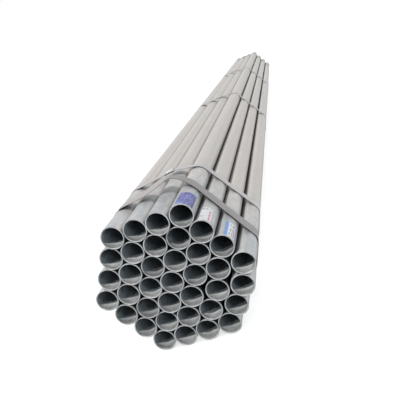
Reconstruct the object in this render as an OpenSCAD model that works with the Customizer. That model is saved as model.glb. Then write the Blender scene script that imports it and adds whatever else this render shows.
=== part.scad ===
// Hexagonal bundle of galvanised steel tubes, held by flat steel straps.
// The tubes lie along Y, the rows are stacked along Z, and the bundle rests
// on the undersides of its straps at z = 0.
// Rows count from the top (1) to the bottom (7), tubes from the left, seen
// from the end at -Y.

/* [Tubes] */
// Outside diameter of a tube
tube_od = 76.1; // [60.3:0.1:88.9]
// Wall thickness of a tube
tube_wall = 3.2; // [2:0.1:5]
// Length of a tube
tube_len = 6000; // [5900:50:6500]
// Clear gap between tubes that lie side by side
tube_gap = 0.4; // [0.2:0.1:1]

/* [Bundle] */
// How far the lower right side has slumped outwards, in degrees
slump = 7; // [3:1:8]
// How uneven the tube ends are, as a factor
stagger = 1; // [0:0.1:2]

/* [Straps] */
// Width of the broad strap nearest the front end
front_strap_w = 60; // [30:1:70]
// Width of the other straps
strap_w = 40; // [25:1:50]
// Thickness of a strap
strap_t = 1; // [0.6:0.1:1.5]
// How far the slack in the straps stands up off the top, as a factor
bow = 1; // [0.2:0.1:1.1]
// Distance of strap 1 from the front ends
strap_1_y = 162; // [120:1:250]
// Distance of strap 2 from the front ends
strap_2_y = 368; // [320:1:500]
// Distance of strap 3 from the front ends
strap_3_y = 2100; // [1800:10:2400]
// Distance of strap 4 from the front ends
strap_4_y = 3800; // [3500:10:4100]
// Distance of strap 5 from the front ends
strap_5_y = 5640; // [5300:10:5750]

/* [Labels] */
// Thickness of a paper label
label_t = 0.2; // [0.1:0.05:0.5]
// Length of a label along its tube
label_len = 96; // [60:1:110]

/* [Hidden] */
$fn = 96;

pitch = tube_od + tube_gap;
strap_clear = 0.3;
// radius of the strap's middle line around a tube
strap_r = tube_od / 2 + strap_clear + strap_t / 2;
// height of the bottom row's centres: the straps' undersides are at z = 0
bottom_z = tube_od / 2 + strap_clear + strap_t;

function unit(v) = v / norm(v);
function dir(a) = [cos(a), sin(a)];

// Tubes in each row, from the top
row_n = [4, 5, 6, 7, 6, 5, 4];
// Place of tube k (from 0) of row r (from 0) in the regular lattice, as [x, z]
function lattice(r, k) = [(k - (row_n[r] - 1) / 2) * pitch,
                          (6 - r) * sin(60) * pitch + bottom_z];
// Top point of a tube that rests on tubes a (left) and b (right)
function seat(a, b) = (a + b) / 2
  + sqrt(pow(pitch, 2) - pow(norm(b - a) / 2, 2)) * [-unit(b - a)[1], unit(b - a)[0]];
// The slumped tubes of the lower right side
p65 = lattice(6, 3) + pitch * dir(60 - slump);
p56 = p65 + pitch * dir(60 - 0.7 * slump);
p47 = p56 + pitch * dir(60 + 1.15 * slump);
p55 = seat(lattice(5, 3), p65);
// Place before centring
function raw(r, k) =
  (r == 5 && k == 4) ? p65 :
  (r == 4 && k == 5) ? p56 :
  (r == 4 && k == 4) ? p55 :
  (r == 3 && k == 6) ? p47 : lattice(r, k);
mid_x = (raw(3, 0)[0] + raw(3, 6)[0]) / 2;
function place(r, k) = raw(r, k) - [mid_x, 0];

// How far each tube is pushed in from the front: the top rows stand out and
// the bottom rows are set back
row_in = [-11, -5, -2, 1, 3, 8, 12];
function push(r, k) = stagger * (row_in[r] + 3 * sin(140 * k + 70 * r));
pushes = [for (r = [0:6]) for (k = [0:row_n[r] - 1]) push(r, k)];
mid_y = (min(pushes) + max(pushes)) / 2;
// y of the plane that the front ends lie near
front_y = -tube_len / 2 - mid_y;

// --- strap path -----------------------------------------------------------
// A station is [x, y, z, nx, nz, tilt]: the middle line's point, the outward
// normal and the turn of the section about the path (rear edge up).
top_z = place(0, 0)[1] + strap_r;
x_left = place(0, 0)[0];
x_right = place(0, 3)[0];
dir_b = unit(place(3, 6) - place(0, 3));
n_b = [-dir_b[1], dir_b[0]];
tangent_b = place(0, 3) + strap_r * n_b;

// Free curve over the top: [how far across, height, tilt] for each strap, from
// the left corner tube's crest to the point where the right face begins.
slack = [
  [[0, 3, -2], [0.2, 10, -1], [0.42, 20, 6], [0.6, 33, 7], [0.76, 42, -1],
   [0.86, 41, -8], [0.985, 25, -7], [1.09, 8, -4]],
  [[0, 0, 0], [0.2, 4, 0], [0.4, 10, 1], [0.56, 15, 2], [0.7, 16, 0],
   [0.84, 10, -2], [1, 3.5, -3], [1.09, 1.5, -2]],
  [[0, 0, 0], [0.2, 1, 0], [0.4, 4, 0], [0.6, 8, 0], [0.75, 7, 0],
   [0.9, 3, 0], [1, 1, 0], [1.09, 0.6, 0]],
  [[0, 0, 0], [0.2, 2, 0], [0.35, 6, 0], [0.5, 8, 0], [0.7, 5, 0],
   [0.85, 2, 0], [1, 1, 0], [1.09, 0.6, 0]],
  [[0, 0, 0], [0.2, 1, 0], [0.4, 3, 0], [0.6, 5, 0], [0.75, 4, 0],
   [0.9, 1.5, 0], [1, 1, 0], [1.09, 0.6, 0]]];
// How each strap slants: rise of y with x and with z
slant = [[0.04, 0], [0.13, -0.06], [0.16, -0.04], [0.03, -0.02], [0.05, 0]];
strap_y = [strap_1_y, strap_2_y, strap_3_y, strap_4_y, strap_5_y];
// Tilt that each strap keeps over the right face, front edge off the tubes
face_tilt = [-3.5, -1.5, 0, 0, 0];
function width(i) = i == 0 ? front_strap_w : strap_w;
function lift_for(i, tilt) = width(i) / 2 * abs(sin(tilt));

// Height of the strap's resting line over the right corner tube's shoulder
function shoulder(s) = s <= 1 ? 0 :
  sqrt(pow(strap_r, 2) - pow((s - 1) * (x_right - x_left), 2)) - strap_r;
function knot(c) = [x_left + c[0] * (x_right - x_left),
                    top_z + shoulder(c[0]) + bow * c[1], bow * c[2]];
function end_knot(i, far) =
  let (q = tangent_b + far * dir_b + lift_for(i, bow * face_tilt[i]) * n_b)
  [q[0], q[1], bow * face_tilt[i]];
function knots(i) = concat(
  [[x_left - 12, top_z - 2, 0]],
  [for (c = slack[i]) knot(c)],
  [end_knot(i, 0), end_knot(i, 24)]);
function cr(a, b, c, d, t) = 0.5 * (2 * b + (c - a) * t
  + (2 * a - 5 * b + 4 * c - d) * t * t + (3 * b - a - 3 * c + d) * t * t * t);
// Point of the free curve at u, from 0 to 8
spans = 8;
function top_at(i, u) =
  let (k = knots(i), j = min(spans - 1, max(0, floor(u))), t = u - j)
  cr(k[j], k[j + 1], k[j + 2], k[j + 3], t);
function slant_y(i, x, z) = front_y + strap_y[i]
  + slant[i][0] * (x - x_right) + slant[i][1] * (z - top_z);
function top_station(i, u) =
  let (q = top_at(i, u), e = 0.02,
       d = unit([for (m = [0, 1]) (top_at(i, min(spans, u + e)) - top_at(i, max(0, u - e)))[m]]))
  [q[0], slant_y(i, q[0], q[1]), q[1], -d[1], d[0], q[2]];

// Corners that the strap goes round, clockwise from the left
corners = [place(6, 0), place(3, 0), place(0, 0), place(0, 3), place(3, 6),
           place(4, 5), place(5, 4), place(6, 3)];
function side_angle(a, b) = let (d = unit(b - a)) atan2(d[0], -d[1]);
// Stations round a corner tube from angle a down to angle b
function arc(i, c, a, b, steps, tilt) = [for (j = [0:steps])
  let (g = a + (b - a) * j / steps, r = strap_r + lift_for(i, tilt),
       x = c[0] + r * cos(g), z = c[1] + r * sin(g))
  [x, slant_y(i, x, z), z, cos(g), sin(g), tilt]];
// Station on the upper left face, t of the way up it
function left_station(i, t) =
  let (q = corners[1] + t * (corners[2] - corners[1]) + strap_r * [cos(150), sin(150)])
  [q[0], slant_y(i, q[0], q[1]), q[1], cos(150), sin(150), 0];
// Stations that a seal follows: on top from u0 to u1, or on the upper left face
seal_steps = 6;
function seal_top(i, u0, u1) =
  [for (j = [0:seal_steps]) top_station(i, u0 + (u1 - u0) * j / seal_steps)];
function seal_left(i, half) = let (a = half / norm(corners[2] - corners[1]))
  [for (j = [0:seal_steps]) left_station(i, 0.5 - a + 2 * a * j / seal_steps)];
top_steps = 48;
function path(i) = concat(
  arc(i, corners[0], 270, 210, 8, 0),
  arc(i, corners[1], 210, 150, 8, 0),
  arc(i, corners[2], 150, 97.5, 7, 0),
  [for (j = [0:top_steps]) top_station(i, j * spans / top_steps)],
  arc(i, corners[4], side_angle(corners[3], corners[4]),
      side_angle(corners[4], corners[5]), 7, bow * face_tilt[i] / 2),
  arc(i, corners[5], side_angle(corners[4], corners[5]),
      side_angle(corners[5], corners[6]), 2, 0),
  arc(i, corners[6], side_angle(corners[5], corners[6]),
      side_angle(corners[6], corners[7]), 2, 0),
  arc(i, corners[7], side_angle(corners[6], corners[7]), -90, 7, 0));

// Corner points of a flat section w wide and t thick at a station
function section(s, w, t) =
  let (c = [s[0], s[1], s[2]], n = [s[3], 0, s[4]],
       wide = [0, cos(s[5]), 0] + sin(s[5]) * n,
       thick = cos(s[5]) * n - [0, sin(s[5]), 0])
  [c - w / 2 * wide + t / 2 * thick, c + w / 2 * wide + t / 2 * thick,
   c + w / 2 * wide - t / 2 * thick, c - w / 2 * wide - t / 2 * thick];

// --- modules --------------------------------------------------------------
// One tube: a plain square-cut pipe
module tube(r, k) color([0.74, 0.74, 0.73])
  translate([place(r, k)[0], front_y + push(r, k), place(r, k)[1]])
    rotate([-90, 0, 0]) difference() {
      cylinder(d = tube_od, h = tube_len);
      translate([0, 0, -1]) cylinder(d = tube_od - 2 * tube_wall, h = tube_len + 2);
    }

// Closed flat band, slack over the top
module strap(i) {
  st = path(i);
  n = len(st);
  points = [for (s = st) each section(s, width(i), strap_t)];
  color(i == 0 ? [0.55, 0.53, 0.52] : [0.7, 0.7, 0.69])
    polyhedron(points = points, faces = [for (j = [0:n - 1]) for (e = [0:3])
      let (a = 4 * j, b = 4 * ((j + 1) % n), f = (e + 1) % 4)
      each [[a + e, a + f, b + f], [a + e, b + f, b + e]]]);
}

// Crimped sleeve that joins a strap's two ends, along the stations st
module seal(i, st) {
  steps = len(st) - 1;
  n = steps + 1;
  outer = [for (s = st) each section(s, width(i) + 4, strap_t + 4)];
  inner = [for (s = st) each section(s, width(i) + 1.6, strap_t + 1.6)];
  m = 4 * n;
  color([0.62, 0.62, 0.61]) polyhedron(points = concat(outer, inner), faces = concat(
    [for (j = [0:steps - 1]) for (e = [0:3])
      let (a = 4 * j, b = a + 4, f = (e + 1) % 4)
      each [[a + e, a + f, b + f], [a + e, b + f, b + e],
            [m + a + e, m + b + f, m + a + f], [m + a + e, m + b + e, m + b + f]]],
    [for (e = [0:3]) let (f = (e + 1) % 4, z = 4 * steps)
      each [[e, m + f, f], [e, m + e, m + f],
            [z + e, z + f, z + m + f], [z + e, z + m + f, z + m + e]]]));
}

// Paper label stuck round part of a tube's outside, just behind its front end
module label(r, k, a0, a1, c)
  color(c) translate([place(r, k)[0], front_y + push(r, k) + 4 + label_len, place(r, k)[1]])
    rotate([90, 0, 0]) rotate([0, 0, a0])
      linear_extrude(label_len) difference() {
        intersection() {
          circle(r = tube_od / 2 + 0.02 + label_t);
          polygon([[0, 0], 80 * dir(0), 80 * dir((a1 - a0) / 2), 80 * dir(a1 - a0)]);
        }
        circle(r = tube_od / 2 + 0.02);
      }

tube(0, 0);  // tube_1_1
tube(0, 1);  // tube_1_2
tube(0, 2);  // tube_1_3
tube(0, 3);  // tube_1_4
tube(1, 0);  // tube_2_1
tube(1, 1);  // tube_2_2
tube(1, 2);  // tube_2_3
tube(1, 3);  // tube_2_4
tube(1, 4);  // tube_2_5
tube(2, 0);  // tube_3_1
tube(2, 1);  // tube_3_2
tube(2, 2);  // tube_3_3
tube(2, 3);  // tube_3_4
tube(2, 4);  // tube_3_5
tube(2, 5);  // tube_3_6
tube(3, 0);  // tube_4_1
tube(3, 1);  // tube_4_2
tube(3, 2);  // tube_4_3
tube(3, 3);  // tube_4_4
tube(3, 4);  // tube_4_5
tube(3, 5);  // tube_4_6
tube(3, 6);  // tube_4_7
tube(4, 0);  // tube_5_1
tube(4, 1);  // tube_5_2
tube(4, 2);  // tube_5_3
tube(4, 3);  // tube_5_4
tube(4, 4);  // tube_5_5
tube(4, 5);  // tube_5_6
tube(5, 0);  // tube_6_1
tube(5, 1);  // tube_6_2
tube(5, 2);  // tube_6_3
tube(5, 3);  // tube_6_4
tube(5, 4);  // tube_6_5
tube(6, 0);  // tube_7_1
tube(6, 1);  // tube_7_2
tube(6, 2);  // tube_7_3
tube(6, 3);  // tube_7_4
strap(0);  // strap_1
strap(1);  // strap_2
strap(2);  // strap_3
strap(3);  // strap_4
strap(4);  // strap_5
seal(0, seal_left(0, 22));  // seal_1
seal(1, seal_top(1, 2.75, 3.75));  // seal_2
seal(2, seal_top(2, 2.5, 3.4));  // seal_3
seal(3, seal_top(3, 2.5, 3.5));  // seal_4
seal(4, seal_top(4, 2.5, 3.4));  // seal_5
label(0, 3, 12, 103, [0.5, 0.52, 0.72]);  // label_blue
label(1, 4, 28, 90, [0.86, 0.86, 0.88]);  // label_red_bar
label(2, 5, -4, 66, [0.86, 0.87, 0.9]);  // label_light_blue
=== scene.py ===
import math

import bpy
import numpy as np
from mathutils import Matrix, Vector


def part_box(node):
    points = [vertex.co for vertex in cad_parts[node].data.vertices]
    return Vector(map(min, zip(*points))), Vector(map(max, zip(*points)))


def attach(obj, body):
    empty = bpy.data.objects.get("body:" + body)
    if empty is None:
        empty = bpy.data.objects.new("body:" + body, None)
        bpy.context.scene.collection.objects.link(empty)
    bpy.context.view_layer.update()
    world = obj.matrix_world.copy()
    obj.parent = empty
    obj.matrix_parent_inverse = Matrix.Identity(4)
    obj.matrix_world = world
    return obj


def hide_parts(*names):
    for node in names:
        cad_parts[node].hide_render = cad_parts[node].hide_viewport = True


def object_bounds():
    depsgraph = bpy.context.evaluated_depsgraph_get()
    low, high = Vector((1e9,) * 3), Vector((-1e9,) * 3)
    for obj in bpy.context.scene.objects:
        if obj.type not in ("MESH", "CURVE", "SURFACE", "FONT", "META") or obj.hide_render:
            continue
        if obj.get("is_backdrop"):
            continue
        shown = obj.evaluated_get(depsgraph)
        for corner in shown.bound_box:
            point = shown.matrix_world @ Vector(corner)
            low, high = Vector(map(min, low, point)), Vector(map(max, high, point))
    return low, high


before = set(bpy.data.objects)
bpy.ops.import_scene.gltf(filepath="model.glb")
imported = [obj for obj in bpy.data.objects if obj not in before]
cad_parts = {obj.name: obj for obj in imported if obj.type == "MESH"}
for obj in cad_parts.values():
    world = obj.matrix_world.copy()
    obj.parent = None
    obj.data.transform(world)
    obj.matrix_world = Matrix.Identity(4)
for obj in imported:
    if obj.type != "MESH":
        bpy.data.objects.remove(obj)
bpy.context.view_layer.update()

ROW_N = [4, 5, 6, 7, 6, 5, 4]
scene = bpy.context.scene

# ---------------------------------------------------------------- tube places
TUBES = {}
for r in range(7):
    for k in range(ROW_N[r]):
        lo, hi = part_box("tube_%d_%d" % (r + 1, k + 1))
        TUBES[(r, k)] = dict(x=(lo.x + hi.x) / 2, z=(lo.z + hi.z) / 2, y0=lo.y, y1=hi.y,
                             r=(hi.z - lo.z) / 2)
WALL = 0.0032
OD = 2 * TUBES[(0, 0)]["r"]
R_OUT = OD / 2
R_IN = R_OUT - WALL


def place(r, k):
    t = TUBES[(r, k)]
    return np.array([t["x"], t["z"]])


# ---------------------------------------------------------------- node helpers
class Mat:
    """A node material with a Principled shader, and short calls for its nodes."""

    def __init__(self, name):
        self.m = bpy.data.materials.new(name)
        self.m.use_nodes = True
        self.t = self.m.node_tree
        self.t.nodes.clear()
        self.out = self.t.nodes.new("ShaderNodeOutputMaterial")
        self.p = self.t.nodes.new("ShaderNodeBsdfPrincipled")
        self.t.links.new(self.p.outputs[0], self.out.inputs[0])

    def put(self, node, key, v):
        s = node.inputs[key]
        if isinstance(v, bpy.types.NodeSocket):
            self.t.links.new(v, s)
        elif v is not None:
            s.default_value = v

    def coord(self, which="Object"):
        n = self.t.nodes.new("ShaderNodeTexCoord")
        return n.outputs[which]

    def attr(self, name, what="Fac"):
        n = self.t.nodes.new("ShaderNodeAttribute")
        n.attribute_name = name
        return n.outputs[what]

    def stretch(self, vec, scale, loc=(0, 0, 0)):
        n = self.t.nodes.new("ShaderNodeMapping")
        self.put(n, "Vector", vec)
        self.put(n, "Scale", scale)
        self.put(n, "Location", loc)
        return n.outputs[0]

    def noise(self, vec, scale, detail=3.0, rough=0.5, out="Fac", dist=0.0):
        n = self.t.nodes.new("ShaderNodeTexNoise")
        self.put(n, "Vector", vec)
        self.put(n, "Scale", scale)
        self.put(n, "Detail", detail)
        self.put(n, "Roughness", rough)
        self.put(n, "Distortion", dist)
        return n.outputs[out]

    def voronoi(self, vec, scale, feature="F1", out="Distance"):
        n = self.t.nodes.new("ShaderNodeTexVoronoi")
        n.feature = feature
        self.put(n, "Vector", vec)
        self.put(n, "Scale", scale)
        return n.outputs[out]

    def math(self, op, a, b=None, c=None, clamp=False):
        n = self.t.nodes.new("ShaderNodeMath")
        n.operation = op
        n.use_clamp = clamp
        self.put(n, 0, a)
        if b is not None:
            self.put(n, 1, b)
        if c is not None:
            self.put(n, 2, c)
        return n.outputs[0]

    def span(self, v, a, b, lo=0.0, hi=1.0, smooth=True):
        n = self.t.nodes.new("ShaderNodeMapRange")
        n.interpolation_type = "SMOOTHSTEP" if smooth else "LINEAR"
        n.clamp = True
        self.put(n, "Value", v)
        self.put(n, "From Min", a)
        self.put(n, "From Max", b)
        self.put(n, "To Min", lo)
        self.put(n, "To Max", hi)
        return n.outputs[0]

    def mix(self, f, a, b, kind="MIX"):
        n = self.t.nodes.new("ShaderNodeMix")
        n.data_type = "RGBA"
        n.blend_type = kind
        self.put(n, 0, f)
        for key, v in ((6, a), (7, b)):
            if isinstance(v, tuple) and len(v) == 3:
                v = v + (1.0,)
            self.put(n, key, v)
        return n.outputs[2]

    def grey(self, v):
        n = self.t.nodes.new("ShaderNodeCombineColor")
        for i in range(3):
            self.put(n, i, v)
        return n.outputs[0]

    def xyz(self, vec):
        n = self.t.nodes.new("ShaderNodeSeparateXYZ")
        self.put(n, 0, vec)
        return n.outputs

    def bump(self, height, strength=0.3, distance=0.001):
        n = self.t.nodes.new("ShaderNodeBump")
        self.put(n, "Height", height)
        n.inputs["Strength"].default_value = strength
        n.inputs["Distance"].default_value = distance
        self.t.links.new(n.outputs[0], self.p.inputs["Normal"])
        return n


# ---------------------------------------------------------------- materials
def zinc_material():
    m = Mat("zinc_tube_metal")
    co = m.coord()
    tone = m.attr("tone")          # one value per tube, 0 to 1
    inside = m.attr("inside")      # 1 on the bore's wall
    depth = m.attr("depth")        # metres from the nearest end
    lit = m.attr("crescent_light_reach")          # how deep the paler zinc and its painted crescent of light reach at this angle, in metres
    gap_painted_shade = m.attr("gap_painted_shade")      # 1 where the outside faces the gaps between tubes, for painted shade
    cut = m.attr("cut")            # 1 on the sawn face
    flank_painted_light = m.attr("flank_painted_light")        # 1 on the painted light strips beside the open grooves
    lip_painted_highlight = m.attr("lip_painted_highlight")            # 1 on the bore's half of the sawn face, for a painted highlight
    sky_light_reach = m.attr("sky_light_reach")            # how deep the painted sky light reaches low on the left, in metres
    crescent_light_gain = m.attr("crescent_light_gain")      # how bright the painted crescent of light by the mouth is
    underside_painted_shade = m.attr("underside_painted_shade")        # 1 on the undersides, for painted shade
    streak = m.noise(m.stretch(co, (90, 1.1, 90)), 1.0, 4.0, 0.55)
    streak2 = m.noise(m.stretch(co, (260, 4.0, 260), (3, 1, 2)), 1.0, 3.0, 0.6)
    blotch = m.noise(m.stretch(co, (16, 5, 16)), 1.0, 4.0, 0.6, dist=0.6)
    cloud = m.noise(m.stretch(co, (34, 22, 34), (7, 3, 5)), 1.0, 5.0, 0.62, dist=0.9)
    tint = m.noise(m.stretch(co, (48, 0.55, 48), (11, 5, 2)), 1.0, 2.0, 0.5)
    cellv = m.xyz(m.voronoi(m.stretch(co, (150, 90, 150)), 1.0, out="Color"))[0]
    # colour: bluer close to the ends, warmer along the length
    warm = m.span(m.math("ADD", depth, m.math("MULTIPLY", m.math("SUBTRACT", blotch, 0.5), 0.35)),
                  0.0, 0.5)
    near = m.math("SUBTRACT", 1.0, m.span(depth, 0.1, 0.8))
    # brightness factor about 1
    v = m.math("ADD", m.math("MULTIPLY", streak, 0.18), m.math("MULTIPLY", streak2, 0.10))
    v = m.math("ADD", v, m.math("MULTIPLY", blotch, 0.20))
    v = m.math("ADD", v, m.math("MULTIPLY", m.math("MULTIPLY", m.math("SUBTRACT", cloud, 0.5), near), 0.75))
    v = m.math("ADD", v, m.math("MULTIPLY", cellv, 0.06))
    v = m.math("ADD", v, m.math("MULTIPLY", tone, 0.07))
    # painted light: the strips beside the open grooves are brighter
    v = m.math("ADD", v, m.math("MULTIPLY", flank_painted_light, 0.20))
    v = m.math("ADD", v, 0.665)
    hue = m.mix(warm, (0.352, 0.372, 0.388), (0.420, 0.397, 0.376))
    hue = m.mix(m.math("MULTIPLY", m.span(tint, 0.50, 0.66), 0.45), hue, (0.440, 0.392, 0.382))
    hue = m.mix(m.math("MULTIPLY", m.span(tint, 0.48, 0.34), 0.45), hue, (0.385, 0.392, 0.360))
    # the painted light strips also turn yellower
    hue = m.mix(m.math("MULTIPLY", flank_painted_light, 0.35), hue, (0.440, 0.425, 0.385))
    grey = m.grey(v)
    base = m.mix(1.0, hue, grey, "MULTIPLY")
    # the bore: paler zinc by the mouth carrying a painted crescent of sunlight, painted shade further in, painted sky
    # light low on the left, with a ragged edge
    ragged = m.math("MULTIPLY", m.math("SUBTRACT", m.noise(m.stretch(co, (38, 60, 38), (5, 2, 1)), 1.0, 3.0, 0.6), 0.5), 0.03)
    edge = m.math("SUBTRACT", m.math("ADD", lit, ragged), depth)
    clean_and_lit = m.span(edge, -0.004, 0.004)
    # painted shade deep in the bore
    bore_painted_shade = m.mix(m.span(cloud, 0.35, 0.7), (0.105, 0.130, 0.150), (0.185, 0.208, 0.220))
    # painted sky light low on the left, fading with depth
    pale = m.span(m.math("DIVIDE", m.math("ADD", depth, m.math("MULTIPLY", ragged, 0.6)), m.math("ADD", sky_light_reach, 0.001)), 1.12, 0.55)
    bore_painted_shade = m.mix(m.math("MULTIPLY", pale, m.span(cloud, 0.2, 0.8, 0.35, 0.85)), bore_painted_shade, (0.325, 0.375, 0.405))
    # painted light in the crescent: brighter towards its inner edge, in bands, with a per-tube strength
    share = m.math("DIVIDE", depth, m.math("ADD", lit, 0.002))
    band = m.noise(m.stretch(co, (22, 210, 22), (2, 9, 4)), 1.0, 3.0, 0.6)
    wash = m.math("ADD", m.span(share, 0.2, 0.86, 0.56, 1.26), m.math("MULTIPLY", m.math("SUBTRACT", band, 0.5), 0.9))
    wash = m.math("ADD", wash, m.math("MULTIPLY", m.math("SUBTRACT", cloud, 0.5), 0.8))
    wash = m.math("MULTIPLY", wash, crescent_light_gain)
    crescent_painted_light = m.mix(1.0, (0.490, 0.498, 0.492), m.grey(wash), "MULTIPLY")
    bore = m.mix(clean_and_lit, bore_painted_shade, crescent_painted_light)
    # painted shade on the undersides, and on the outside between the tubes a little way in from the cut end
    inner = m.math("MULTIPLY", gap_painted_shade, m.span(depth, 0.0006, 0.006))
    base = m.mix(m.math("MULTIPLY", underside_painted_shade, 0.62), base, (0.070, 0.074, 0.080))
    base = m.mix(m.math("MULTIPLY", inner, 0.93), base, (0.020, 0.023, 0.022))
    saw = m.noise(m.stretch(co, (900, 20, 160), (1, 1, 1)), 1.0, 2.0, 0.5)
    face = m.mix(m.span(saw, 0.35, 0.65), (0.118, 0.124, 0.130), (0.190, 0.196, 0.202))
    # the bore's half of the sawn face is lighter: a painted highlight
    face = m.mix(lip_painted_highlight, face, m.mix(m.span(cloud, 0.3, 0.7), (0.315, 0.325, 0.330), (0.480, 0.486, 0.488)))
    base = m.mix(m.math("MULTIPLY", cut, 0.85), base, m.mix(1.0, face, grey, "MULTIPLY"))
    m.put(m.p, "Base Color", m.mix(inside, base, bore))
    m.p.inputs["Metallic"].default_value = 0.3
    rough = m.math("ADD", m.math("MULTIPLY", blotch, 0.22), m.math("MULTIPLY", cellv, 0.08))
    m.put(m.p, "Roughness", m.math("ADD", rough, 0.32))
    fine = m.noise(co, 900, 2.0, 0.5)
    h = m.math("ADD", m.math("MULTIPLY", blotch, 1.0), m.math("MULTIPLY", fine, 0.12))
    h = m.math("ADD", h, m.math("MULTIPLY", streak, 0.4))
    h = m.math("ADD", h, m.math("MULTIPLY", m.math("MULTIPLY", cloud, near), 0.8))
    m.bump(h, 0.25, 0.0008)
    return m.m


def strap_material(name, dark, light, metallic=0.5, rough=0.42, edge_wear_and_shade=(0.62, 0.61, 0.6), edge_wear_and_shade_amount=0.35):
    m = Mat(name)
    co = m.coord()
    n1 = m.noise(m.stretch(co, (9, 60, 9)), 1.0, 4.0, 0.6)
    n2 = m.noise(m.stretch(co, (40, 400, 40)), 1.0, 3.0, 0.6)
    edge = m.attr("edge")      # 1 at the strap's two edges
    v = m.math("ADD", m.math("MULTIPLY", n1, 0.65), m.math("MULTIPLY", n2, 0.35))
    col = m.mix(m.span(v, 0.3, 0.72), dark, light)
    lower = m.attr("lower")    # 1 underneath, and fading in from the front edge: painted shade
    # edges take the edge colour: light wear on most straps, painted shade on the front strap's edges and in the seal's
    # crimps
    col = m.mix(m.math("MULTIPLY", edge, edge_wear_and_shade_amount), col, edge_wear_and_shade)
    # painted light where the front strap's band faces up on the left
    col = m.mix(m.math("MULTIPLY", m.attr("painted_top_light"), m.span(n1, 0.2, 0.6, 0.7, 1.0)), col, (0.318, 0.294, 0.282))
    # painted shade underneath and along the front edge
    col = m.mix(m.math("MULTIPLY", lower, 0.85), col, (0.028, 0.026, 0.026))
    m.put(m.p, "Base Color", col)
    m.p.inputs["Metallic"].default_value = metallic
    m.put(m.p, "Roughness", m.span(n1, 0.2, 0.8, rough - 0.08, rough + 0.14, False))
    m.bump(m.math("ADD", m.math("MULTIPLY", n2, 0.6), n1), 0.18, 0.0006)
    return m.m


def uv_box(m, u, v, u0, u1, v0, v1, soft=0.012):
    a = m.math("MULTIPLY", m.span(u, u0 - soft, u0 + soft), m.span(u, u1 + soft, u1 - soft))
    b = m.math("MULTIPLY", m.span(v, v0 - soft, v0 + soft), m.span(v, v1 + soft, v1 - soft))
    return m.math("MULTIPLY", a, b)


def label_material(name, kind):
    """Worn paper with plain blocks of colour: u round the tube, v away from its mouth."""
    m = Mat(name)
    uv = m.xyz(m.coord("UV"))
    u, v = uv[0], uv[1]            # u from the left edge round the tube, v away from the mouth
    co = m.coord()
    grain = m.noise(m.stretch(co, (220, 50, 220)), 1.0, 4.0, 0.65)
    fade = m.noise(m.stretch(co, (60, 18, 60), (1, 4, 2)), 1.0, 4.0, 0.6)
    if kind == "blue":
        rows = m.noise(m.stretch(m.coord("UV"), (26, 5, 1), (3, 1, 0)), 1.0, 3.0, 0.7)
        f = m.math("ADD", m.math("MULTIPLY", grain, 0.45), m.math("MULTIPLY", rows, 0.55))
        col = m.mix(m.span(f, 0.41, 0.60), (0.036, 0.044, 0.150), (0.175, 0.192, 0.380))
        col = m.mix(m.math("MULTIPLY", m.span(fade, 0.52, 0.70), 0.4), col, (0.17, 0.13, 0.30))
        pale = m.math("MULTIPLY", m.span(v, 0.26, 0.0), m.span(u, 0.5, 0.0))
        col = m.mix(m.math("MULTIPLY", pale, 0.75), col, (0.17, 0.27, 0.52))
        col = m.mix(m.math("MULTIPLY", m.span(u, 0.80, 0.97), 0.6), col, (0.030, 0.030, 0.110))
    else:
        col = m.mix(m.span(fade, 0.3, 0.7), (0.43, 0.435, 0.455), (0.53, 0.53, 0.54))
        if kind == "red":
            blocks = [(0.10, 0.30, 0.80, 0.92, 0.75), (0.36, 0.56, 0.80, 0.92, 0.65), (0.14, 0.24, 0.56, 0.64, 0.35),
                      (0.44, 0.56, 0.54, 0.62, 0.3), (0.12, 0.34, 0.24, 0.31, 0.6), (0.46, 0.58, 0.28, 0.36, 0.4),
                      (0.28, 0.38, 0.40, 0.46, 0.3), (0.10, 0.20, 0.10, 0.15, 0.3)]
            bars = [(0.72, 0.86, 0.04, 0.30, (0.40, 0.17, 0.21)), (0.72, 0.86, 0.33, 0.50, (0.38, 0.16, 0.20)),
                    (0.72, 0.86, 0.53, 0.74, (0.41, 0.19, 0.23))]
        else:
            blocks = [(0.36, 0.48, 0.74, 0.90, 0.6), (0.54, 0.76, 0.74, 0.88, 0.7), (0.36, 0.48, 0.36, 0.60, 0.85),
                      (0.34, 0.44, 0.10, 0.28, 0.7), (0.54, 0.62, 0.08, 0.58, 0.6), (0.68, 0.78, 0.10, 0.64, 0.85)]
            bars = [(-0.1, 0.25, -0.1, 1.1, (0.105, 0.200, 0.41)), (0.86, 1.1, -0.1, 1.1, (0.17, 0.17, 0.31))]
        speck = m.span(grain, 0.40, 0.56, 0.45, 1.0)
        for a, b, c, d, k in blocks:
            col = m.mix(m.math("MULTIPLY", m.math("MULTIPLY", uv_box(m, u, v, a, b, c, d, 0.02), speck), k), col, (0.075, 0.085, 0.11))
        for a, b, c, d, tone in bars:
            k = m.math("MULTIPLY", uv_box(m, u, v, a, b, c, d, 0.015), m.span(grain, 0.3, 0.55, 0.72, 1.0))
            col = m.mix(k, col, tone)
    m.put(m.p, "Base Color", col)
    m.put(m.p, "Roughness", m.span(fade, 0.2, 0.8, 0.42, 0.62, False))
    m.bump(m.math("ADD", m.math("MULTIPLY", grain, 0.5), fade), 0.3, 0.0005)
    return m.m


ZINC = zinc_material()
# the front strap's near-black edge colour is painted shade
STRAP_FRONT = strap_material("front_strap_metal", (0.170, 0.160, 0.160), (0.262, 0.246, 0.244), 0.2, 0.5, (0.12, 0.11, 0.11), 0.5)
STRAP = strap_material("strap_metal", (0.37, 0.362, 0.358), (0.46, 0.452, 0.445))
# the seal's near-black edge colour is painted shade in its crimps
SEAL = strap_material("seal_metal", (0.52, 0.52, 0.52), (0.84, 0.84, 0.84), 0.25, 0.3, (0.016, 0.015, 0.015), 0.93)
LABEL_BLUE = label_material("label_blue_paper", "blue")
LABEL_RED = label_material("label_red_bar_paper", "red")
LABEL_LIGHT = label_material("label_light_blue_paper", "light")


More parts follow.
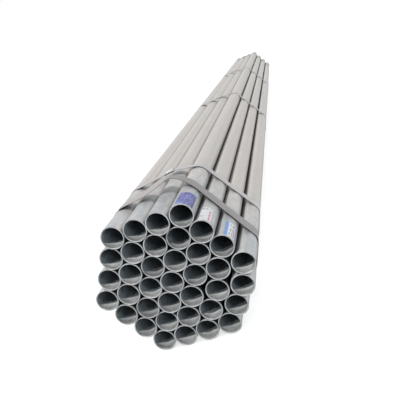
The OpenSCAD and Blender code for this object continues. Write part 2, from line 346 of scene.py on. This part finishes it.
# ---------------------------------------------------------------- mesh helpers
def grid_mesh(name, pts, wrap_i, wrap_j, material, smooth=True, attrs=None, uv=None):
    """pts is an n by m by 3 array; faces join neighbours, and the flags close either way round."""
    n, m = pts.shape[:2]
    ii = np.arange(n if wrap_i else n - 1)
    jj = np.arange(m if wrap_j else m - 1)
    I, J = np.meshgrid(ii, jj, indexing="ij")
    I2, J2 = (I + 1) % n, (J + 1) % m
    faces = np.stack([I * m + J, I2 * m + J, I2 * m + J2, I * m + J2], -1).reshape(-1, 4)
    me = bpy.data.meshes.new(name)
    me.from_pydata(pts.reshape(-1, 3).tolist(), [], faces.tolist())
    me.polygons.foreach_set("use_smooth", [smooth] * len(faces))
    for key, val in (attrs or {}).items():
        a = me.attributes.new(key, "FLOAT", "POINT")
        a.data.foreach_set("value", np.asarray(val, np.float32).ravel())
    if uv is not None:
        layer = me.uv_layers.new(name="UVMap")
        flat = np.asarray(uv, np.float32).reshape(-1, 2)
        layer.data.foreach_set("uv", flat[faces.ravel()].ravel())
    me.materials.append(material)
    me.update()
    o = bpy.data.objects.new(name, me)
    scene.collection.objects.link(o)
    return o


def adopt(o, slot, *nodes):
    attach(o, "root")
    if nodes:
        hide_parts(*nodes)
    return o


# ---------------------------------------------------------------- tubes
SEG = 96
# per-tube strength of the painted crescent of light in each bore
CRESCENT_LIGHT_GAINS = {(0, 1): 0.98, (0, 2): 1.26, (0, 3): 0.98, (1, 2): 0.96, (1, 3): 0.95, (1, 4): 0.95, (2, 5): 0.80, (3, 6): 1.20}


def wavy(theta, seed, terms=((2, 1.0), (3, 0.7), (5, 0.5), (9, 0.35), (14, 0.25), (23, 0.15))):
    q = np.random.default_rng(seed)
    s = np.zeros_like(theta)
    for f, a in terms:
        s += a * np.sin(f * theta + q.uniform(0, 2 * math.pi))
    return s / 2.0


def build_tube(r, k):
    t = TUBES[(r, k)]
    theta = np.linspace(0, 2 * math.pi, SEG, endpoint=False)
    y0, y1 = t["y0"], t["y1"]
    L = y1 - y0
    prof = []   # radius, y, inside flag, edge share (how much the ragged rim moves it)
    outs = [0.0016, 0.006, 0.02, 0.05, 0.1, 0.2, 0.4, 0.8, 1.5, 2.4, 3.2]
    outs = [d for d in outs]
    ys = [y0 + d for d in outs] + [y1 - d for d in outs[::-1][1:]]
    front = [(R_OUT, 0.0007, 0, 0.4), (R_OUT - 0.0003, 0.0002, 0, 1), (R_OUT - 0.0008, 0.0, 0, 1),
             (R_IN + 0.0009, 0.0, 0, 1), (R_IN + 0.0003, 0.00025, 0, 1), (R_IN, 0.0009, 1, 0.5)]
    for rad, d, ins, e in front[2::-1]:
        prof.append((rad, y0 + d, ins, e, 0))
    for y in ys:
        prof.append((R_OUT, y, 0, 0.0, 0))
    for rad, d, ins, e in front[:3]:
        prof.append((rad, y1 - d, ins, e, 1))
    for rad, d, ins, e in front[3:]:
        prof.append((rad, y1 - d, ins, e, 1))
    ins_d = [0.004, 0.009, 0.016, 0.026, 0.04, 0.06, 0.09, 0.14, 0.22, 0.4, 0.9, 1.8, 3.0]
    for y in [y1 - d for d in ins_d] + [y0 + d for d in ins_d[::-1][1:]]:
        prof.append((R_IN, y, 1, 0.0, 0))
    for rad, d, ins, e in front[:2:-1]:
        prof.append((rad, y0 + d, ins, e, 0))
    prof = np.array(prof)
    n = len(prof)
    rad = np.repeat(prof[:, 0:1], SEG, 1)
    yy = np.repeat(prof[:, 1:2], SEG, 1)
    seed = 100 * r + k
    w = wavy(theta, seed)
    # slightly uneven cut edge, never outside the CAD length
    bite = 0.00045 * (w - w.min())[None, :] * prof[:, 3:4]
    yy = yy + np.where(prof[:, 4:5] > 0.5, -bite, bite)
    # zinc thickened into the bore near the mouth, with runs along the bottom
    d0 = np.minimum(yy - y0, y1 - yy)
    q = np.random.default_rng(seed + 5000)
    run = np.zeros((n, SEG))
    for _ in range(q.integers(2, 5)):
        a0 = math.radians(q.uniform(-150, -35))
        wd = q.uniform(0.05, 0.13)
        ln = q.uniform(0.008, 0.045)
        hgt = q.uniform(0.0004, 0.0012)
        da = (theta - a0 + math.pi) % (2 * math.pi) - math.pi
        run += hgt * np.exp(-(da / wd) ** 2)[None, :] * np.exp(-np.maximum(d0 - 0.002, 0) / ln) * (d0 > 0.0006)
    coat = 0.00018 * (1 + wavy(theta, seed + 9)[None, :]) * np.exp(-d0 / 0.03)
    rad = rad - (run + coat) * (prof[:, 2:3] > 0.5)
    pts = np.stack([t["x"] + rad * np.cos(theta), yy, t["z"] + rad * np.sin(theta)], -1)
    inside = np.repeat(prof[:, 2:3], SEG, 1)
    # how deep the painted crescent of sunlight reaches inside: deepest low on the right, nothing at the top
    deg = (np.degrees(theta) + 180) % 360 - 180
    reach = 0.066 * np.cos(np.radians(deg + 78)) + 0.002 * wavy(theta, seed + 77)
    crescent_light_reach = np.repeat(np.maximum(reach, 0.002)[None, :], n, 0)
    # painted shade where the outside faces a closed gap, and softer painted shade along the open grooves
    near = []
    for t2 in TUBES.values():
        gap = np.array([t2["x"] - t["x"], t2["z"] - t["z"]])
        if 0.01 < np.linalg.norm(gap) < 0.09:
            near.append(math.degrees(math.atan2(gap[1], gap[0])))
    cover = np.zeros(SEG)
    for a in near:
        off = (deg - a + 180) % 360 - 180
        groove = np.clip((30 - np.abs(off)) / 16.0, 0, 1)
        cover = np.maximum(cover, 0.72 * groove * groove * (3 - 2 * groove))
        for b in near:
            gap = (b - a) % 360
            if 30 < gap < 80:
                cover = np.where((off >= 0) & (off <= gap), 1.0, cover)
    gap_painted_shade = np.repeat(cover[None, :], n, 0)
    # painted light: pale strips on the exposed sides, between a neighbour and the crest
    free = np.zeros(SEG)
    for a in near:
        off = (deg - a + 180) % 360 - 180
        strip = np.clip(1 - np.abs(np.abs(off) - 40) / 20.0, 0, 1)
        free = np.maximum(free, strip * strip * (3 - 2 * strip))
    free = free * (cover < 0.3)
    free[cover >= 0.999] = 0
    flank_painted_light = np.repeat(free[None, :] * (0.7 + 0.3 * q.uniform()), n, 0)
    tone = np.full((n, SEG), q.uniform(0, 1))
    cutface = np.repeat((prof[:, 3:4] > 0.9).astype(float), SEG, 1)
    # the bore's half of the sawn face, which gets a painted highlight
    lip_painted_highlight = np.repeat((prof[:, 0:1] < R_IN + 0.001).astype(float), SEG, 1)
    # per-tube strength of the painted crescent of light, stronger low on the right
    clean_and_lit = CRESCENT_LIGHT_GAINS.get((r, k), q.uniform(0.80, 1.18)) + 0.20 * np.cos(np.radians(deg + 44)) - 0.08
    crescent_light_gain = np.repeat(clean_and_lit[None, :], n, 0)
    # how deep the painted sky light reaches low on the left
    sky_light_reach = 0.10 * q.uniform(0.35, 1.15) * np.maximum(np.cos(np.radians((deg + q.uniform(150, 175)) * 0.9)), 0)
    sky_light_reach = np.repeat(sky_light_reach[None, :], n, 0)
    # painted shade on the undersides
    underside_shade_ramp = np.clip((0.25 - np.sin(theta)) / 0.62, 0, 1)
    underside_painted_shade = np.repeat((underside_shade_ramp * underside_shade_ramp * (3 - 2 * underside_shade_ramp))[None, :], n, 0)
    o = grid_mesh("zinc_tube_%d_%d" % (r + 1, k + 1), pts, True, True, ZINC,
                  attrs={"inside": inside, "depth": d0, "crescent_light_reach": crescent_light_reach, "tone": tone, "gap_painted_shade": gap_painted_shade, "cut": cutface, "flank_painted_light": flank_painted_light,
                         "lip_painted_highlight": lip_painted_highlight, "crescent_light_gain": crescent_light_gain, "sky_light_reach": sky_light_reach, "underside_painted_shade": underside_painted_shade})
    adopt(o, "zinc_tube", "tube_%d_%d" % (r + 1, k + 1))
    return o


for rk in TUBES:
    build_tube(*rk)


# ---------------------------------------------------------------- straps
# The same rule as the construction: a band round the corner tubes, slack over the top.
CLEAR, T = 0.0003, 0.001
STRAP_R = R_OUT + CLEAR + T / 2
WIDTH = [0.060, 0.040, 0.040, 0.040, 0.040]
SLANT = [(0.04, 0), (0.13, -0.06), (0.16, -0.04), (0.03, -0.02), (0.05, 0)]
STRAP_Y = [0.162, 0.368, 2.100, 3.800, 5.640]
FACE_TILT = [-3.5, -1.5, 0, 0, 0]
SLACK = [
    [(0, 3, -2), (0.2, 10, -1), (0.42, 20, 6), (0.6, 33, 7), (0.76, 42, -1), (0.86, 41, -8), (0.985, 25, -7), (1.09, 8, -4)],
    [(0, 0, 0), (0.2, 4, 0), (0.4, 10, 1), (0.56, 15, 2), (0.7, 16, 0), (0.84, 10, -2), (1, 3.5, -3), (1.09, 1.5, -2)],
    [(0, 0, 0), (0.2, 1, 0), (0.4, 4, 0), (0.6, 8, 0), (0.75, 7, 0), (0.9, 3, 0), (1, 1, 0), (1.09, 0.6, 0)],
    [(0, 0, 0), (0.2, 2, 0), (0.35, 6, 0), (0.5, 8, 0), (0.7, 5, 0), (0.85, 2, 0), (1, 1, 0), (1.09, 0.6, 0)],
    [(0, 0, 0), (0.2, 1, 0), (0.4, 3, 0), (0.6, 5, 0), (0.75, 4, 0), (0.9, 1.5, 0), (1, 1, 0), (1.09, 0.6, 0)]]
SEAL_U = [None, (2.75, 3.75), (2.5, 3.4), (2.5, 3.5), (2.5, 3.4)]
FRONT_Y = TUBES[(0, 0)]["y0"] + 0.011        # the plane that the front ends lie near
X_LEFT, X_RIGHT = place(0, 0)[0], place(0, 3)[0]
TOP_Z = place(0, 0)[1] + STRAP_R


def unit(v):
    return v / np.linalg.norm(v)


DIR_B = unit(place(3, 6) - place(0, 3))
N_B = np.array([-DIR_B[1], DIR_B[0]])
TANGENT_B = place(0, 3) + STRAP_R * N_B
CORNERS = [place(6, 0), place(3, 0), place(0, 0), place(0, 3), place(3, 6), place(4, 5), place(5, 4), place(6, 3)]


def lift_for(i, tilt):
    return WIDTH[i] / 2 * abs(math.sin(math.radians(tilt)))


def knots(i):
    out = [np.array([X_LEFT - 0.012, TOP_Z - 0.002, 0.0])]
    for s, h, tilt in SLACK[i]:
        sh = 0.0 if s <= 1 else math.sqrt(STRAP_R ** 2 - ((s - 1) * (X_RIGHT - X_LEFT)) ** 2) - STRAP_R
        out.append(np.array([X_LEFT + s * (X_RIGHT - X_LEFT), TOP_Z + sh + h / 1000.0, tilt]))
    for far in (0.0, 0.024):
        q = TANGENT_B + far * DIR_B + lift_for(i, FACE_TILT[i]) * N_B
        out.append(np.array([q[0], q[1], FACE_TILT[i]]))
    return out


def top_at(i, u, K):
    j = min(7, max(0, int(math.floor(u))))
    t = u - j
    a, b, c, d = K[j:j + 4]
    return 0.5 * (2 * b + (c - a) * t + (2 * a - 5 * b + 4 * c - d) * t * t + (3 * b - a - 3 * c + d) * t ** 3)


def slant_y(i, x, z):
    return FRONT_Y + STRAP_Y[i] + SLANT[i][0] * (x - X_RIGHT) + SLANT[i][1] * (z - TOP_Z)


def top_station(i, u, K):
    q = top_at(i, u, K)
    e = 0.02
    d = unit((top_at(i, min(8, u + e), K) - top_at(i, max(0, u - e), K))[:2])
    return [q[0], slant_y(i, q[0], q[1]), q[1], -d[1], d[0], q[2]]


def side_angle(a, b):
    d = unit(b - a)
    return math.degrees(math.atan2(d[0], -d[1]))


def arc(i, c, a, b, steps, tilt):
    out = []
    for j in range(steps + 1):
        g = math.radians(a + (b - a) * j / steps)
        rr = STRAP_R + lift_for(i, tilt)
        x, z = c[0] + rr * math.cos(g), c[1] + rr * math.sin(g)
        out.append([x, slant_y(i, x, z), z, math.cos(g), math.sin(g), tilt])
    return out


def strap_path(i, fine=160):
    K = knots(i)
    S = arc(i, CORNERS[0], 270, 210, 16, 0) + arc(i, CORNERS[1], 210, 150, 16, 0) + arc(i, CORNERS[2], 150, 93, 14, 0)
    S += [top_station(i, 8 * j / fine, K) for j in range(fine + 1)]
    ang = [side_angle(CORNERS[n], CORNERS[n + 1]) for n in range(3, 7)]
    S += arc(i, CORNERS[4], ang[0], ang[1], 14, FACE_TILT[i] / 2)
    S += arc(i, CORNERS[5], ang[1], ang[2], 5, 0)
    S += arc(i, CORNERS[6], ang[2], ang[3], 5, 0)
    S += arc(i, CORNERS[7], ang[3], -90, 14, 0)
    return np.array(S)


def split_long(S, longest=0.02):
    """More stations on the straight runs, so that the band can be shaded and bent evenly."""
    out = []
    n = len(S)
    for j in range(n):
        a, b = S[j], S[(j + 1) % n]
        out.append(a)
        gap = np.linalg.norm((b - a)[:3])
        m = int(gap // longest)
        for q in range(1, m + 1):
            t = q / (m + 1)
            c = a + (b - a) * t
            c[3:5] = unit(c[3:5])
            out.append(c)
    return np.array(out)


def frame_of(S):
    n = np.stack([S[:, 3], np.zeros(len(S)), S[:, 4]], 1)
    t = np.radians(S[:, 5])[:, None]
    ey = np.array([[0.0, 1.0, 0.0]])
    return S[:, :3], np.cos(t) * ey + np.sin(t) * n, np.cos(t) * n - np.sin(t) * ey


def ribbon_section(w, t, cols=6, ch=0.00025):
    """Cross-section of a flat band, as (across, up) pairs, with eased edges."""
    top = [(-w / 2 + ch, t / 2), (-w / 2 + 0.002, t / 2), (-w / 2 + 0.0034, t / 2)] + \
          [(-w / 2 + w * c / cols, t / 2) for c in range(1, cols)] + [(w / 2 - 0.0034, t / 2), (w / 2 - 0.002, t / 2), (w / 2 - ch, t / 2)]
    side = [(w / 2, t / 2 - ch), (w / 2, -t / 2 + ch)]
    bottom = [(-a, -b) for a, b in top]
    return np.array(top + side + bottom + [(-w / 2, -t / 2 + ch), (-w / 2, t / 2 - ch)])


def sweep(name, S, sec, material, closed, cap=True, painted_top_light_x=None):
    c, wv, tv = frame_of(S)
    pts = c[:, None, :] + sec[None, :, 0:1] * wv[:, None, :] + sec[None, :, 1:2] * tv[:, None, :]
    edge = (np.abs(sec[:, 0]) > np.abs(sec[:, 0]).max() - 0.0012).astype(float)
    half = np.abs(sec[:, 0]).max()
    # painted shade underneath and in a band from the front edge
    lower = np.maximum((sec[:, 1] < 0).astype(float), 0.95 * (sec[:, 0] < -half + 0.0022))
    # painted light where the band faces up, left of the given x
    painted_top_light = np.zeros(len(S)) if painted_top_light_x is None else np.clip((painted_top_light_x - S[:, 0]) / 0.02, 0, 1) * np.clip((S[:, 4] - 0.2) / 0.3, 0, 1)
    o = grid_mesh(name, pts, closed, True, material,
                  attrs={"edge": np.repeat(edge[None, :], len(S), 0), "lower": np.repeat(lower[None, :], len(S), 0),
                         "painted_top_light": np.repeat(painted_top_light[:, None], len(sec), 1)})
    o.data.flip_normals()
    if not closed and cap:
        me = o.data
        import bmesh
        bm = bmesh.new()
        bm.from_mesh(me)
        bm.verts.ensure_lookup_table()
        m = len(sec)
        n = len(S)
        bm.faces.new([bm.verts[j] for j in range(m)])
        bm.faces.new([bm.verts[(n - 1) * m + j] for j in reversed(range(m))])
        bmesh.ops.recalc_face_normals(bm, faces=bm.faces)
        bm.to_mesh(me)
        bm.free()
    mod = o.modifiers.new("edges", "EDGE_SPLIT")
    mod.split_angle = math.radians(38)
    return o


for i in range(5):
    S = split_long(strap_path(i))
    # the front strap gets painted light on its up-facing top left of x = 0.072
    o = sweep("steel_strap_%d" % (i + 1), S, ribbon_section(WIDTH[i], T), STRAP_FRONT if i == 0 else STRAP, True, True, 0.072 if i == 0 else None)
    adopt(o, "front_strap" if i == 0 else "steel_strap", "strap_%d" % (i + 1))


def seal_mesh(i):
    """A crimped sleeve round the band, open at both ends, with two rows of crimps."""
    n = 41
    if i == 0:                                   # on the upper left face
        side = CORNERS[2] - CORNERS[1]
        out = STRAP_R * np.array([math.cos(math.radians(150)), math.sin(math.radians(150))])
        st = []
        for j in range(n):
            q = CORNERS[1] + (0.5 + 0.022 / np.linalg.norm(side) * (2 * j / (n - 1) - 1)) * side + out
            st.append([q[0], slant_y(i, q[0], q[1]), q[1], math.cos(math.radians(150)), math.sin(math.radians(150)), 0])
        st = np.array(st)
    else:
        u0, u1 = SEAL_U[i]
        K = knots(i)
        st = np.array([top_station(i, u0 + (u1 - u0) * j / (n - 1), K) for j in range(n)])
    c, wv, tv = frame_of(st)
    s = np.linspace(0, 1, n)
    crimp = sum(np.exp(-((s - a) / 0.055) ** 2) for a in (0.14, 0.44, 0.72, 0.93))
    w = WIDTH[i]
    rows = []
    for rim, (gw, gt) in enumerate(((0.0018, 0.0018), (0.0009, 0.0009))):
        half_w, half_t = w / 2 + gw, T / 2 + gt
        sec = [(-1, 0.9)] + [(-1 + 2 * q / 8, 1) for q in range(9)] + [(1, 0.9), (1, -0.9)] + [(1 - 2 * q / 8, -1) for q in range(9)] + [(-1, -0.9)]
        sec = np.array(sec)
        pts = np.zeros((n, len(sec), 3))
        for j in range(n):
            k = crimp[j]
            for m_, (a, b) in enumerate(sec):
                near = abs(a) > 0.7
                hw = max(half_w * (1 - (0.05 * k if near else 0)), w / 2 + 0.0004 + 0.0005 * (1 - rim))
                ht = half_t + (0.0006 * k * (1 if abs(a) < 0.7 else -0.6))
                ht = max(ht, T / 2 + 0.0007 + 0.0004 * (1 - rim))
                pts[j, m_] = c[j] + a * hw * wv[j] + b * ht * tv[j]
        rows.append(pts)
    outer, inner = rows
    full = np.concatenate([outer, inner[::-1]], 0)
    # painted shade on the underside and over the whole inner sleeve
    low = np.repeat(((sec[:, 1] < -0.95) | (sec[:, 0] < -0.99)).astype(float)[None, :], 2 * n, 0)
    low[n:] = 1
    groove = np.concatenate([np.repeat(crimp[:, None], len(sec), 1)] * 2, 0)      # painted shade in the crimps
    o = grid_mesh("strap_seal_%d" % (i + 1), full, True, True, SEAL, attrs={"edge": groove, "lower": low, "painted_top_light": 0 * low})
    import bmesh
    bm = bmesh.new()
    bm.from_mesh(o.data)
    bmesh.ops.recalc_face_normals(bm, faces=bm.faces)
    bm.to_mesh(o.data)
    bm.free()
    mod = o.modifiers.new("edges", "EDGE_SPLIT")
    mod.split_angle = math.radians(35)
    adopt(o, "strap_seal", "seal_%d" % (i + 1))
    return o


for i in range(5):
    seal_mesh(i)


# ---------------------------------------------------------------- labels
def build_label(name, node, r, k, a0, a1, material, slot):
    """Paper patch round the tube: u runs from the left edge (a1) to the right edge (a0)."""
    t = TUBES[(r, k)]
    lo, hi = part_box(node)
    y0, y1 = lo.y, hi.y
    nu, nv = 49, 41
    u = np.linspace(0, 1, nu)
    v = np.linspace(0, 1, nv)
    U, V = np.meshgrid(u, v, indexing="ij")
    q = np.random.default_rng(900 + r)
    # ragged outline, a little inside the CAD patch
    du = 0.012 * (wavy(V * 9, 31 + r) + 1.0)
    dv = 0.010 * (wavy(U * 7, 57 + r) + 1.0)
    Uc = du + (1 - 2 * du) * U
    Vc = dv + (1 - 2 * dv) * V
    ang = np.radians(a1 + (a0 - a1) * Uc)
    puff = 0.00008 + 0.00006 * np.sin(17 * U + 3 * V + r) * np.sin(11 * V + 2 * U)
    out = []
    for side in (1, 0):
        rad = R_OUT + 0.00003 + (puff + 0.00006 if side else 0 * puff)
        out.append(np.stack([t["x"] + rad * np.cos(ang), y0 + (y1 - y0) * Vc, t["z"] + rad * np.sin(ang)], -1))
    top, bottom = out
    me = bpy.data.meshes.new(name)
    verts = np.concatenate([top.reshape(-1, 3), bottom.reshape(-1, 3)])
    N = nu * nv
    idx = np.arange(N).reshape(nu, nv)
    faces, fuv = [], []
    UV = np.stack([Uc, Vc], -1).reshape(-1, 2)
    for a in range(nu - 1):
        for b in range(nv - 1):
            f = [idx[a, b], idx[a + 1, b], idx[a + 1, b + 1], idx[a, b + 1]]
            faces.append(f)
            faces.append([x + N for x in f[::-1]])
    rim = [idx[a, 0] for a in range(nu)] + [idx[nu - 1, b] for b in range(1, nv)] + \
          [idx[a, nv - 1] for a in range(nu - 2, -1, -1)] + [idx[0, b] for b in range(nv - 2, 0, -1)]
    for j in range(len(rim)):
        a, b = rim[j], rim[(j + 1) % len(rim)]
        faces.append([b, a, a + N, b + N])
    me.from_pydata(verts.tolist(), [], [[int(x) for x in f] for f in faces])
    layer = me.uv_layers.new(name="UVMap")
    lu = np.array([UV[int(v) % N] for f in faces for v in f], np.float32)
    layer.data.foreach_set("uv", lu.ravel())
    me.polygons.foreach_set("use_smooth", [True] * len(faces))
    me.materials.append(material)
    import bmesh
    bm = bmesh.new()
    bm.from_mesh(me)
    bmesh.ops.recalc_face_normals(bm, faces=bm.faces)
    bm.to_mesh(me)
    bm.free()
    o = bpy.data.objects.new(name, me)
    scene.collection.objects.link(o)
    mod = o.modifiers.new("edges", "EDGE_SPLIT")
    mod.split_angle = math.radians(50)
    adopt(o, slot, node)
    return o


build_label("paper_label_blue", "label_blue", 0, 3, 12, 103, LABEL_BLUE, "label_blue_paper")
build_label("paper_label_red_bar", "label_red_bar", 1, 4, 28, 90, LABEL_RED, "label_white_paper")
build_label("paper_label_light_blue", "label_light_blue", 2, 5, -4, 66, LABEL_LIGHT, "label_white_paper")

# ---------------------------------------------------------------- floor, light, camera
floor_me = bpy.data.meshes.new("floor")
floor_me.from_pydata([(-60, -60, 0), (60, -60, 0), (60, 60, 0), (-60, 60, 0)], [], [(0, 1, 2, 3)])
floor = bpy.data.objects.new("floor", floor_me)
scene.collection.objects.link(floor)
floor.location.z = -0.0005
fm = Mat("pale_floor")
fm.put(fm.p, "Base Color", fm.mix(fm.noise(fm.coord(), 3.0, 3.0), (0.93, 0.93, 0.93), (0.96, 0.96, 0.955)))
fm.p.inputs["Roughness"].default_value = 0.9
floor_me.materials.append(fm.m)
floor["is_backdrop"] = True

world = bpy.data.worlds.new("studio")
scene.world = world
world.use_nodes = True
wt = world.node_tree
bg = wt.nodes["Background"]
bg.inputs[0].default_value = (0.97, 0.985, 1.0, 1.0)
bg.inputs[1].default_value = 0.86
clean_and_lit = wt.nodes.new("ShaderNodeBackground")          # the plain white seen behind the bundle
clean_and_lit.inputs[0].default_value = (1.0, 1.0, 1.0, 1.0)
clean_and_lit.inputs[1].default_value = 1.0
ray = wt.nodes.new("ShaderNodeLightPath")
both = wt.nodes.new("ShaderNodeMixShader")
wt.links.new(ray.outputs["Is Camera Ray"], both.inputs[0])
wt.links.new(bg.outputs[0], both.inputs[1])
wt.links.new(clean_and_lit.outputs[0], both.inputs[2])
wt.links.new(both.outputs[0], wt.nodes["World Output"].inputs[0])

sun = bpy.data.lights.new("key", "SUN")
sun.energy = 3.35
sun.angle = math.radians(1.6)
sun_o = bpy.data.objects.new("key", sun)
scene.collection.objects.link(sun_o)
to_sun = Vector((-0.085, -0.545, 0.834)).normalized()
# The key leaves the floor to the table light, so the floor stays plain and pale.
lit = bpy.data.collections.new("key_lights")
lit.objects.link(floor)
sun_o.light_linking.receiver_collection = lit
lit.collection_objects[0].light_linking.link_state = "EXCLUDE"
table = bpy.data.lights.new("table", "SUN")
table.energy = 2.0
table_o = bpy.data.objects.new("table", table)
scene.collection.objects.link(table_o)
only = bpy.data.collections.new("table_lights")
only.objects.link(floor)
table_o.light_linking.receiver_collection = only
shades = bpy.data.collections.new("table_shades")
shades.objects.link(floor)
table_o.light_linking.blocker_collection = shades
sun_o.rotation_mode = "QUATERNION"
sun_o.rotation_quaternion = to_sun.to_track_quat("Z", "Y")

cam = bpy.data.cameras.new("camera")
cam.sensor_width = 36.0
cam.lens = 491.4 / 400 * 36.0
cam.shift_x = 0.0
cam.shift_y = -0.055
cam.clip_start, cam.clip_end = 0.05, 200
cam.dof.use_dof = False
cam_o = bpy.data.objects.new("camera", cam)
scene.collection.objects.link(cam_o)
right, up, ahead = Vector((0.91913, 0.13948, -0.36843)), Vector((0.31162, 0.31476, 0.89656)), Vector((-0.24102, 0.93887, -0.24584))
pose = Matrix((right, up, -ahead)).transposed().to_4x4()
pose.translation = (0.54345, -4.31275, 0.86843)
cam_o.matrix_world = pose
scene.camera = cam_o

scene.view_settings.view_transform = "Standard"
scene.view_settings.look = "None"
scene.view_settings.exposure = 0.0
scene.view_settings.gamma = 1.0

lo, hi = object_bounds()
